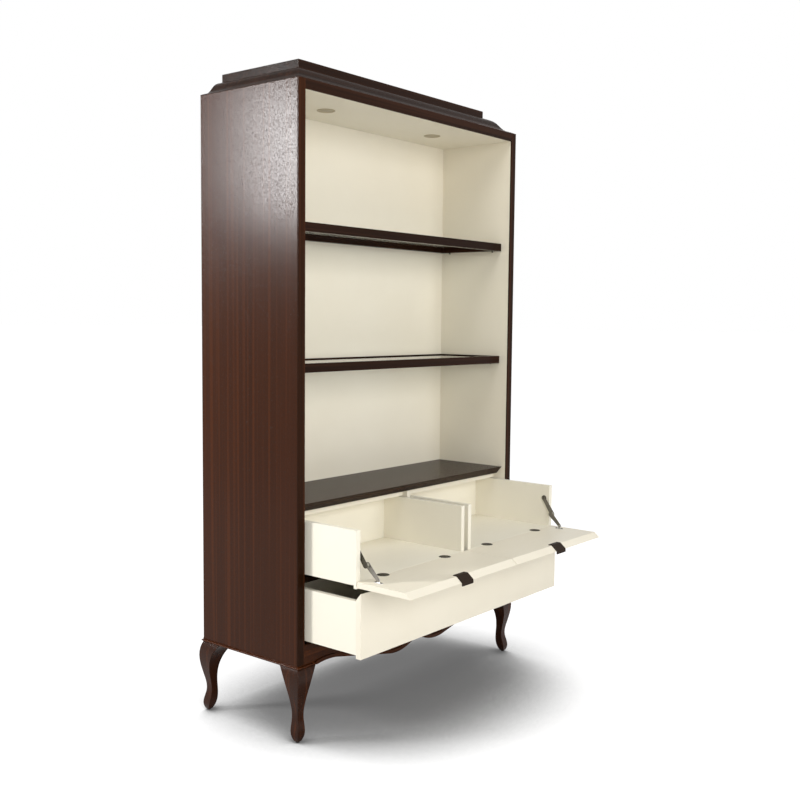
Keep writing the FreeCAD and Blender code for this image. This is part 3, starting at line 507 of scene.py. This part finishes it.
def new_piece(name, bm, node, material=None, hides=True):
    """A finished mesh that rides with a CAD node, and mostly stands for it."""
    bmesh.ops.recalc_face_normals(bm, faces=bm.faces)
    mesh = bpy.data.meshes.new(name)
    bm.to_mesh(mesh)
    bm.free()
    piece = bpy.data.objects.new(name, mesh)
    bpy.context.scene.collection.objects.link(piece)
    paint(piece, material or material_of(node))
    mesh.shade_smooth()
    mesh.set_sharp_from_angle(angle=SMOOTH_ANGLE)
    flat = piece.modifiers.new("flat_faces", "WEIGHTED_NORMAL")
    flat.keep_sharp = True
    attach(piece, BODY_OF[node])
    if hides:
        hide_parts(node)


def cad_mesh(node):
    """The mesh of a CAD node, its flat faces whole again."""
    bm = bmesh.new()
    bm.from_mesh(NODES[node].data)
    bmesh.ops.remove_doubles(bm, verts=bm.verts, dist=WELD)
    bmesh.ops.dissolve_limit(bm, angle_limit=FLAT_ANGLE, verts=bm.verts, edges=bm.edges)
    return bm


def sharp_edges(bm):
    """Edges where two faces meet at a clear angle."""
    return [edge for edge in bm.edges if edge.calc_face_angle(0) > SHARP_ANGLE]


def ease(bm, edges, width, segments=2):
    """Round some edges of a mesh."""
    bmesh.ops.bevel(bm, geom=edges, offset=width, segments=segments, profile=0.5,
                    affect="EDGES", clamp_overlap=True)


def join_into(bm, other):
    """Move one mesh into another."""
    mesh = bpy.data.meshes.new("part")
    other.to_mesh(mesh)
    other.free()
    bm.from_mesh(mesh)
    bpy.data.meshes.remove(mesh)


def skin(bm, rings):
    """Faces from ring to ring, and a cap on each end."""
    for low, high in zip(rings, rings[1:]):
        for n in range(len(low)):
            bm.faces.new((low[n - 1], low[n], high[n], high[n - 1]))
    bm.faces.new(rings[0])
    bm.faces.new(reversed(rings[-1]))


def turned(bm, centre, axis, profile, steps=24):
    """A solid of (radius, height) rings about an axis through a point."""
    along_axis = Vector(axis).normalized()
    side = along_axis.orthogonal().normalized()
    other = along_axis.cross(side)
    rings = []
    for radius, height in profile:
        turns = (math.tau * n / steps for n in range(steps))
        rings.append([bm.verts.new(Vector(centre) + along_axis * height
                                   + (side * math.cos(t) + other * math.sin(t)) * radius)
                      for t in turns])
    skin(bm, rings)


def to_radius(line, radius):
    """A profile of (radius, height) points from one of (share of the radius, height)."""
    return [(radius * share, height) for share, height in line]


def ring_turned(bm, centre, profile, steps=40):
    """A closed profile of (radius, height) points turned into an upright ring."""
    loops = []
    for n in range(steps):
        t = math.tau * n / steps
        loops.append([bm.verts.new((centre[0] + r * math.cos(t), centre[1] + r * math.sin(t),
                                    centre[2] + z)) for r, z in profile])
    for n in range(steps):
        first, second = loops[n - 1], loops[n]
        for k in range(len(profile)):
            bm.faces.new((first[k - 1], first[k], second[k], second[k - 1]))


def plate(bm, outline, depth, place, width=PLATE_ARRIS):
    """An outline of (u, v) points between two depths, put in space by a function."""
    part = bmesh.new()
    skin(part, [[part.verts.new(place(u, v, w)) for u, v in outline] for w in depth])
    ease(part, sharp_edges(part), width)
    join_into(bm, part)


def sweep(bm, path, profile):
    """A profile of (outward, height) points along a path of floor points, mitred."""
    path = [Vector(corner) for corner in path]
    runs = [(b - a).normalized() for a, b in zip(path, path[1:])]
    rings = []
    for n, corner in enumerate(path):
        before = runs[max(n - 1, 0)]
        after = runs[min(n, len(runs) - 1)]
        mitre = Vector((before.y + after.y, -before.x - after.x)) / (1 + before.dot(after))
        rings.append([bm.verts.new((*(corner + mitre * out), z)) for out, z in profile])
    skin(bm, rings)


def arc(centre, radius, start, end, steps=8):
    """Points of an arc, its angles in degrees."""
    turns = (math.radians(start + (end - start) * n / steps) for n in range(steps + 1))
    return [(centre[0] + radius * math.cos(t), centre[1] + radius * math.sin(t)) for t in turns]


def make_eased_board(node):
    """A board as in the CAD, with its arrises eased as they are before lacquering."""
    bm = cad_mesh(node)
    ease(bm, sharp_edges(bm), BOARD_ARRIS)
    new_piece(node + "_eased", bm, node)


def add_board(bm, low, high):
    """A board between two corners, its arrises eased."""
    board = bmesh.new()
    bmesh.ops.create_cube(board, size=1)
    low, high = Vector(low), Vector(high)
    for vert in board.verts:
        vert.co = Vector(low[i] + (vert.co[i] + 0.5) * (high[i] - low[i]) for i in range(3))
    ease(board, sharp_edges(board), BOARD_ARRIS)
    join_into(bm, board)


def make_walls(node):
    """Two side boards and the rear board between them."""
    low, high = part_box(node)
    bm = bmesh.new()
    add_board(bm, low, (low.x + PANEL, high.y, high.z))
    add_board(bm, (high.x - PANEL, low.y, low.z), high)
    add_board(bm, (low.x + PANEL, high.y - PANEL, low.z), (high.x - PANEL, high.y, high.z))
    new_piece(node + "_boards", bm, node)


def make_bay_tops():
    """The two pale boards over the boxes."""
    low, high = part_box("bay_tops")
    bm = bmesh.new()
    add_board(bm, low, (-PANEL / 2, high.y, high.z))
    add_board(bm, (PANEL / 2, low.y, low.z), high)
    new_piece("bay_top_boards", bm, "bay_tops")


def make_leg(node):
    """A leg with the rim of its head rounded under the rail."""
    bm = cad_mesh(node)
    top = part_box(node)[1].z
    rim = [edge for edge in sharp_edges(bm)
           if all(top - vert.co.z < LEVEL for vert in edge.verts)]
    ease(bm, rim, LEG_RIM, segments=LEG_RIM_STEPS)
    new_piece(node + "_dressed", bm, node)


def make_base_rail(node):
    """The rail over the legs: a quirk under the panel, a bead, and a fillet on the leg."""
    low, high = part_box(node)
    rise = high.z - low.z
    bead = rise * RAIL_BEAD
    foot = low.z + rise * RAIL_FOOT
    profile = [(-RAIL_THICK, low.z), (-RAIL_STEP, low.z), (-RAIL_STEP, foot)]
    profile += arc((-bead, foot + bead), bead, -90, 90)
    profile += [(-RAIL_QUIRK, foot + 2 * bead), (-RAIL_QUIRK, high.z), (-RAIL_THICK, high.z)]
    if high.x + low.x < 0:
        path = [(low.x, high.y), (low.x, low.y), (high.x, low.y)]
    else:
        path = [(low.x, low.y), (high.x, low.y), (high.x, high.y)]
    bm = bmesh.new()
    sweep(bm, path, profile)
    new_piece(node + "_moulded", bm, node)


def make_cornice_moulding():
    """The ogee moulding, mitred round front and sides."""
    low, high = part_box("cornice_moulding")
    profile = [(-across, low.z + up) for across, up in CORNICE_LINE]
    profile += [(-CORNICE_DEEP + CORNICE_LAND, high.z), (-CORNICE_DEEP, high.z),
                (-CORNICE_DEEP, low.z)]
    path = [(low.x, high.y), (low.x, low.y), (high.x, low.y), (high.x, high.y)]
    bm = bmesh.new()
    sweep(bm, path, profile)
    new_piece("cornice_moulding_swept", bm, "cornice_moulding")


def make_shelf_frame(node):
    """Four mitred members, rebated for the glass, their arrises eased."""
    low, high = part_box(node)
    glass_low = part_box(node.replace("frame", "glass"))[0]
    bearing = glass_low.x - low.x
    step = glass_low.z
    profile = [(0, low.z), (0, high.z), (-bearing, high.z), (-bearing, step),
               (-SHELF_RAIL, step), (-SHELF_RAIL, low.z)]
    corners = [(low.x, low.y), (high.x, low.y), (high.x, high.y), (low.x, high.y)]
    for n, corner in enumerate(corners):
        start, end = Vector(corner), Vector(corners[(n + 1) % 4])
        run = (end - start).normalized()
        out = Vector((run.y, -run.x))
        bm = bmesh.new()
        rings = [[bm.verts.new((*(place + out * away - run * away * sign), z))
                  for away, z in profile] for place, sign in ((start, 1), (end, -1))]
        skin(bm, rings)
        ease(bm, sharp_edges(bm), FRAME_ARRIS)
        wood = "edge_x" if abs(run.x) > abs(run.y) else "edge_y"
        new_piece(f"{node}_member_{n}", bm, node, MATERIALS[wood])


def screw_head(bm, centre, axis, radius):
    """A low domed head with a socket."""
    turned(bm, centre, axis, [(radius * r, radius * z) for r, z in SCREW_LINE], steps=16)


def half_disc(bm, centre, across, deep, rings):
    """Rings of (share, height) over a half circle, closed along its flat side."""
    disc = bmesh.new()
    arcs = []
    for share, z in rings:
        turns = (math.pi * n / CUP_STEPS for n in range(CUP_STEPS + 1))
        arcs.append([disc.verts.new((centre[0] + across * share * math.cos(t),
                                     centre[1] + deep * share * math.sin(t), z))
                     for t in turns])
    for first, second in zip(arcs, arcs[1:]):
        for n in range(CUP_STEPS):
            disc.faces.new((first[n], first[n + 1], second[n + 1], second[n]))
    bmesh.ops.holes_fill(disc, edges=[edge for edge in disc.edges if edge.is_boundary])
    join_into(bm, disc)


def make_cups(node):
    """Half-round hinge plates, ringed and screwed, flush in the board."""
    low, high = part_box(node)
    radius = (high.y - low.y) * CUP_ASPECT
    toward = -1 if "flap" in node else 1
    flat = high.y if toward < 0 else low.y
    rings = [(CUP_FOOT, low.z), *((share, high.z - drop) for share, drop in CUP_RINGS)]
    bm = bmesh.new()
    for x in (low.x + radius, high.x - radius):
        half_disc(bm, (x, flat), radius, toward * (high.y - low.y), rings)
        for off in (-CUP_SCREW_SPREAD, CUP_SCREW_SPREAD):
            place = (x + radius * off, flat + toward * radius * CUP_SCREW_ROW,
                     high.z - CUP_SCREW_DEPTH)
            screw_head(bm, place, UP, SMALL_SCREW)
    new_piece(node + "_ringed", bm, node)


def bent_line(corners, radius):
    """A line through corners, each turned on an arc."""
    corners = [Vector(c) for c in corners]
    line = [corners[0]]
    for before, corner, after in zip(corners, corners[1:], corners[2:]):
        entry = corner + (before - corner).normalized() * radius
        leave = corner + (after - corner).normalized() * radius
        for n in range(PULL_BEND_STEPS + 1):
            t = n / PULL_BEND_STEPS
            line.append(entry.lerp(corner, t).lerp(corner.lerp(leave, t), t))
    return line + [corners[-1]]


def near_end(end, inward):
    """Points close to a line's end, where the plate's corners are rounded."""
    run = (inward - end).normalized()
    return [end + run * PULL_CORNER * share for share in PULL_CORNER_SHARES]


def pull_line(side):
    """The middle line of a pull in (y, z): a leaf, a slope over the bevel, a lip down."""
    low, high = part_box(side + "_pull")
    flap_low, flap_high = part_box(side + "_flap")
    half = PULL_PLATE / 2
    seat = flap_high.z + half
    corners = [(high.y, seat), (flap_high.y - FLAP_RISE - half * 0.5, seat),
               (low.y + half, flap_low.z + half), (low.y + half, low.z)]
    line = bent_line(corners, PULL_BEND)
    leaf_end = near_end(line[0], line[1])
    lip_end = near_end(line[-1], line[-2])
    return [line[0], *leaf_end, *line[1:-1], *lip_end[::-1], line[-1]]


def corner_inset(gone):
    """How much narrower a plate with rounded corners is, so far from its end."""
    cut = PULL_CORNER - gone
    return PULL_CORNER - math.sqrt(PULL_CORNER ** 2 - cut ** 2) if cut > 0 else 0


def make_pull(side):
    """A bent plate over the flap's bevel: a screwed leaf, a slope and a lip turned down."""
    node = side + "_pull"
    low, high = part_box(node)
    middle = (low.x + high.x) / 2
    half_width = (high.x - low.x) / 2
    line = pull_line(side)
    bm = bmesh.new()
    rings = []
    for n, place in enumerate(line):
        run = (line[min(n + 1, len(line) - 1)] - line[max(n - 1, 0)]).normalized()
        up = Vector((run.y, -run.x)) * (PULL_PLATE / 2)
        if up.y < 0:
            up = -up
        wide = half_width - corner_inset(min((place - line[0]).length,
                                             (place - line[-1]).length))
        rings.append([bm.verts.new((middle + x * wide, *(place + up * s)))
                      for x, s in ((-1, -1), (1, -1), (1, 1), (-1, 1))])
    skin(bm, rings)
    ease(bm, sharp_edges(bm), PLATE_ARRIS)
    leaf_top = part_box(side + "_flap")[1].z + PULL_PLATE
    for off in (-PULL_SCREW_SPREAD, PULL_SCREW_SPREAD):
        place = (middle + off * half_width, high.y - PULL_SCREW_SETBACK, leaf_top)
        screw_head(bm, place, UP, SMALL_SCREW)
    new_piece(node + "_bent", bm, node)


def link_outline(length, start, end):
    """Outline of a flat bar that tapers from one round end to another."""
    lean = math.degrees(math.acos((start - end) / length))
    near = arc((0, 0), start, lean, 360 - lean, LINK_STEPS)
    far = arc((length, 0), end, -lean, lean, LINK_STEPS)
    return near + far


def make_link(bm, start, end, x, radii):
    """A flat bar across from one pivot to the next, between two x."""
    start, end = Vector(start), Vector(end)
    run = (end - start).normalized()
    over = Vector((-run.y, run.x))

    def place(u, v, w):
        """A point so far along, over and across the bar, on the cabinet's axes."""
        return (w, *(start + run * u + over * v))

    plate(bm, link_outline((end - start).length, *radii), x, place)


def faces_of(node):
    """How far a stay piece's two flat faces are from the middle plane, nearer first."""
    low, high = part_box(node)
    return sorted((abs(low.x), abs(high.x)))


def make_upper_arm(side, sign, boss, elbow):
    """The arm on the box wall: a bar in dark steel as painted shade on its outer side, a
    lighter steel face inside, and the elbow's drum.
    """
    node = side + "_stay_upper_arm"
    inner, outer = faces_of(node)
    bar = outer - STAY_PLATE
    face = bar + STAY_PLATE * STAY_FACE
    bm = bmesh.new()
    # Painted shade: the outer part of the bar in dark steel, the inner face in the lighter stay
    # steel
    make_link(bm, boss, elbow, (sign * outer, sign * face), (EYE_RADIUS, ELBOW_RADIUS))
    new_piece(side + "_upper_link", bm, node, MATERIALS["steel_dark_and_painted_shade"])
    bm = bmesh.new()
    make_link(bm, boss, elbow, (sign * face, sign * bar),
              (EYE_RADIUS - STAY_FACE_INSET, ELBOW_RADIUS - STAY_FACE_INSET))
    new_piece(side + "_upper_link_face", bm, node)
    tall = bar - inner
    drum = (*DRUM_LINE, (1, tall - DRUM_EASE), (DRUM_WAIST, tall))
    bm = bmesh.new()
    turned(bm, (sign * bar, *elbow), (-sign, 0, 0), to_radius(drum, DRUM_RADIUS))
    new_piece(side + "_elbow_drum", bm, node, MATERIALS["drum"])


def make_lower_arm(side, sign, elbow, foot):
    """The arm on the flap, with the elbow's rivet."""
    node = side + "_stay_lower_arm"
    low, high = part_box(node)
    faces = (low.x, high.x)
    bm = bmesh.new()
    make_link(bm, elbow, foot, faces, (ELBOW_RADIUS, FOOT_EYE))
    turned(bm, (min(faces, key=abs), *elbow), (-sign, 0, 0), RIVET_LINE, steps=18)
    new_piece(side + "_lower_link", bm, node)


def make_boss(side, sign, centre):
    """The stay's boss on the box wall: a domed cap with its pin."""
    node = side + "_stay_boss"
    inner, wall = faces_of(node)
    bm = bmesh.new()
    turned(bm, (sign * wall, *centre), (-sign, 0, 0),
           [*BOSS_LINE, (BOSS_LINE[-1][0], wall - inner)])
    new_piece(side + "_boss_cap", bm, node, MATERIALS["steel_dark_and_painted_shade"])


def make_foot(side, sign, pivot):
    """The stay's foot: a screwed plate with round ends, and an ear for the pivot."""
    node = side + "_stay_foot"
    low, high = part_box(node)
    half = Vector((high.x - low.x, high.y - low.y)) / 2
    middle = Vector((low.x + high.x, low.y + high.y)) / 2
    top = low.z + FOOT_PLATE
    rounded = half.x - FOOT_PLAY
    ends = arc((half.y - rounded, 0), rounded, -90, 90)
    ends += arc((rounded - half.y, 0), rounded, 90, 270)
    bm = bmesh.new()
    plate(bm, ends, (low.z, top), lambda u, v, w: (middle.x + v, middle.y + u, w),
          width=FOOT_ARRIS)
    ear = arc((0, 0), EAR_RADIUS, 0, 180)
    ear += [(-EAR_BASE, top - pivot.y), (EAR_BASE, top - pivot.y)]
    faces = [sign * value for value in EAR]
    plate(bm, ear, faces, lambda u, v, w: (w, pivot.x + u, pivot.y + v))
    turned(bm, (min(faces, key=abs), *pivot), (sign, 0, 0), FOOT_PIN_LINE, steps=16)
    new_piece(node + "_plate", bm, node, MATERIALS["foot"])
    screws = bmesh.new()
    for off in (-FOOT_SCREW_SPREAD, FOOT_SCREW_SPREAD):
        screw_head(screws, (middle.x, middle.y + off, top), UP, FOOT_SCREW)
    new_piece(side + "_foot_screws", screws, node, MATERIALS["steel_dark_and_painted_shade"], hides=False)


def make_stay(side):
    """The folding stay: upper arm, lower arm, boss and foot."""
    sign = -1 if side == "left" else 1
    boss = Vector(JOINT_PLACE[side + "_upper_stay_pivot"][1:])
    foot = Vector(JOINT_PLACE[side + "_lower_stay_pivot"][1:])
    arm_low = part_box(side + "_stay_upper_arm")[0]
    elbow = Vector((arm_low.y + ELBOW_RADIUS, arm_low.z + ELBOW_RADIUS))
    make_upper_arm(side, sign, boss, elbow)
    make_lower_arm(side, sign, elbow, foot)
    make_boss(side, sign, boss)
    make_foot(side, sign, foot)


def make_downlights():
    """Ceiling lights: a rolled rim with a reflector cone, and a domed lens."""
    for node in ("downlight_rims", "downlight_lenses"):
        low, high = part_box(node)
        radius = (high.y - low.y) / 2
        bm = bmesh.new()
        for x in (low.x + radius, high.x - radius):
            centre = (x, low.y + radius, low.z)
            if node == "downlight_rims":
                ring_turned(bm, centre, RIM_LINE)
            else:
                turned(bm, centre, UP, LENS_LINE, steps=36)
        new_piece(node + "_spun", bm, node)


def make_pins():
    """Shelf pins with a collar against the lining."""
    low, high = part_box("shelf_pins")
    profile = to_radius(PIN_LINE, PIN_RADIUS)
    bm = bmesh.new()
    for node in SHELF_FRAMES:
        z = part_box(node)[0].z - PIN_RADIUS
        for x, inward in ((low.x, 1), (high.x, -1)):
            for y in (low.y + PIN_RADIUS, high.y - PIN_RADIUS):
                turned(bm, (x, y, z), (inward, 0, 0), profile, steps=16)
    new_piece("shelf_pins_turned", bm, "shelf_pins")


def make_glides():
    """Glides with a rounded tread."""
    low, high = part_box("glides")
    profile = to_radius((*GLIDE_LINE, (1, high.z)), GLIDE_RADIUS)
    bm = bmesh.new()
    for x in (low.x + GLIDE_RADIUS, high.x - GLIDE_RADIUS):
        for y in (low.y + GLIDE_RADIUS, high.y - GLIDE_RADIUS):
            turned(bm, (x, y, low.z), UP, profile)
    new_piece("glides_turned", bm, "glides")


def spread(low, high, margin, count):
    """So many places from low to high, with a margin at both ends."""
    run = high - low - 2 * margin
    return [low + margin + run * n / (count - 1) for n in range(count)]


def make_rear_screws():
    """Screws along the edge of the rear panel."""
    low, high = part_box("rear_panel")
    places = [(x, z) for z in spread(low.z, high.z, REAR_ROW_MARGIN, REAR_ROWS)
              for x in (low.x + REAR_INSET, high.x - REAR_INSET)]
    places += [(x, z) for x in spread(low.x, high.x, REAR_COLUMN_MARGIN, REAR_COLUMNS)
               for z in (high.z - REAR_INSET, low.z + REAR_LOW_ROW)]
    bm = bmesh.new()
    for x, z in places:
        screw_head(bm, (x, high.y, z), BACK, REAR_SCREW)
    new_piece("rear_panel_screws", bm, "rear_panel", MATERIALS["steel_dark_and_painted_shade"], hides=False)


def make_cabinet():
    """Every CAD node coloured, and the dressed pieces."""
    for cad_node in NODES.values():
        paint(cad_node, material_of(cad_node.name))
    for node in BOARDS:
        make_eased_board(node)
    for node in ("left_box_walls", "right_box_walls", "drawer_walls"):
        make_walls(node)
    make_bay_tops()
    make_cornice_moulding()
    for side in ("left", "right"):
        for end in ("front", "rear"):
            make_leg(f"leg_{end}_{side}")
        make_base_rail("base_rail_" + side)
        make_cups(side + "_flap_hinge_cups")
        make_cups(side + "_floor_hinge_cups")
        make_pull(side)
        make_stay(side)
    for node in SHELF_FRAMES:
        make_shelf_frame(node)
    make_downlights()
    make_pins()
    make_glides()
    make_rear_screws()


def seen_directly(tree):
    """1 for rays from the camera and for those in gloss and glass."""
    path = tree.nodes.new("ShaderNodeLightPath")
    seen = path.outputs["Is Camera Ray"]
    for kind in ("Is Glossy Ray", "Is Transmission Ray"):
        either = tree.nodes.new("ShaderNodeMath")
        either.operation = "MAXIMUM"
        tree.links.new(seen, either.inputs[0])
        tree.links.new(path.outputs[kind], either.inputs[1])
        seen = either.outputs["Value"]
    return seen


def make_world():
    """White studio air: white where seen, dimmer as a lamp."""
    world = bpy.data.worlds.new("studio")
    bpy.context.scene.world = world
    world.use_nodes = True
    tree = world.node_tree
    tree.nodes.clear()
    level = tree.nodes.new("ShaderNodeMapRange")
    level.inputs["To Min"].default_value = AMBIENT
    level.inputs["To Max"].default_value = 1.0
    tree.links.new(seen_directly(tree), level.inputs["Value"])
    air = tree.nodes.new("ShaderNodeBackground")
    air.inputs["Color"].default_value = WHITE
    tree.links.new(level.outputs["Result"], air.inputs["Strength"])
    end = tree.nodes.new("ShaderNodeOutputWorld")
    tree.links.new(air.outputs["Background"], end.inputs["Surface"])


def floor_white():
    """The floor's surface: white, with a painted shadow near the cabinet, where ambient
    occlusion darkens its colour and its glow.
    """
    shader = Shader("floor_white")
    nearby = shader.node("ShaderNodeAmbientOcclusion", {"samples": SHADOW_SAMPLES},
                         Distance=SHADOW_REACH)
    # Painted shadow: 1 in the open, falling to 0 where ambient occlusion finds the cabinet near
    outside_painted_shadow = shader.ramp(nearby.outputs["AO"], *SHADOW_SPAN)
    seen = seen_directly(shader.tree)
    lit = shader.blend(seen, FLOOR_COLOUR, FLOOR_SEEN)
    # Painted shadow: the floor's colour darkens near the cabinet
    matte = shader.node("ShaderNodeBsdfDiffuse", Color=shader.blend(outside_painted_shadow, FLOOR_PAINTED_SHADOW, lit))
    # Painted shadow: the glow drops to the shade level near the cabinet
    level = shader.ramp(outside_painted_shadow, 0.0, 1.0, FLOOR_SHADE, FLOOR_GLOW)
    glow = shader.node("ShaderNodeEmission", Color=WHITE, Strength=shader.times(seen, level))
    both = shader.node("ShaderNodeAddShader")
    shader.tree.links.new(matte.outputs[0], both.inputs[0])
    shader.tree.links.new(glow.outputs[0], both.inputs[1])
    shader.tree.links.new(both.outputs[0], shader.output.inputs["Surface"])
    return shader.material


def make_floor():
    """A white floor that keeps the cabinet's shadow from the lamps, and carries a painted
    shadow near the cabinet.
    """
    bm = bmesh.new()
    bmesh.ops.create_grid(bm, x_segments=1, y_segments=1, size=FLOOR_SIZE)
    mesh = bpy.data.meshes.new("floor")
    bm.to_mesh(mesh)
    bm.free()
    floor = bpy.data.objects.new("floor", mesh)
    bpy.context.scene.collection.objects.link(floor)
    mesh.materials.append(floor_white())


def make_camera():
    """The camera of the picture."""
    forward = Vector((math.sin(CAMERA_YAW) * math.cos(CAMERA_PITCH),
                      math.cos(CAMERA_YAW) * math.cos(CAMERA_PITCH), math.sin(CAMERA_PITCH)))
    right = Vector((math.cos(CAMERA_YAW), -math.sin(CAMERA_YAW), 0))
    up = right.cross(forward)
    tilted_right = right * math.cos(CAMERA_ROLL) + up * math.sin(CAMERA_ROLL)
    tilted_up = up * math.cos(CAMERA_ROLL) - right * math.sin(CAMERA_ROLL)
    data = bpy.data.cameras.new("camera")
    data.lens = CAMERA_LENS
    data.sensor_width = CAMERA_SENSOR
    data.clip_end = CAMERA_FAR
    camera = bpy.data.objects.new("camera", data)
    bpy.context.scene.collection.objects.link(camera)
    turn = Matrix((tilted_right, tilted_up, -forward)).transposed().to_4x4()
    camera.matrix_world = Matrix.Translation(CAMERA_PLACE) @ turn
    bpy.context.scene.camera = camera


def make_lamp(name, place, target, size, power):
    """A softbox at a place that faces a target."""
    lamp = bpy.data.lights.new(name, "AREA")
    lamp.shape = "RECTANGLE"
    lamp.size, lamp.size_y = size
    lamp.energy = power
    holder = bpy.data.objects.new(name, lamp)
    bpy.context.scene.collection.objects.link(holder)
    holder.location = place
    aim = Vector(target) - Vector(place)
    holder.rotation_euler = aim.to_track_quat("-Z", "Y").to_euler()


make_cabinet()
make_world()
make_floor()
make_camera()
for lamp_name, lamp_values in LAMPS.items():
    make_lamp(lamp_name, *lamp_values)
bpy.context.scene.view_settings.view_transform = "Standard"
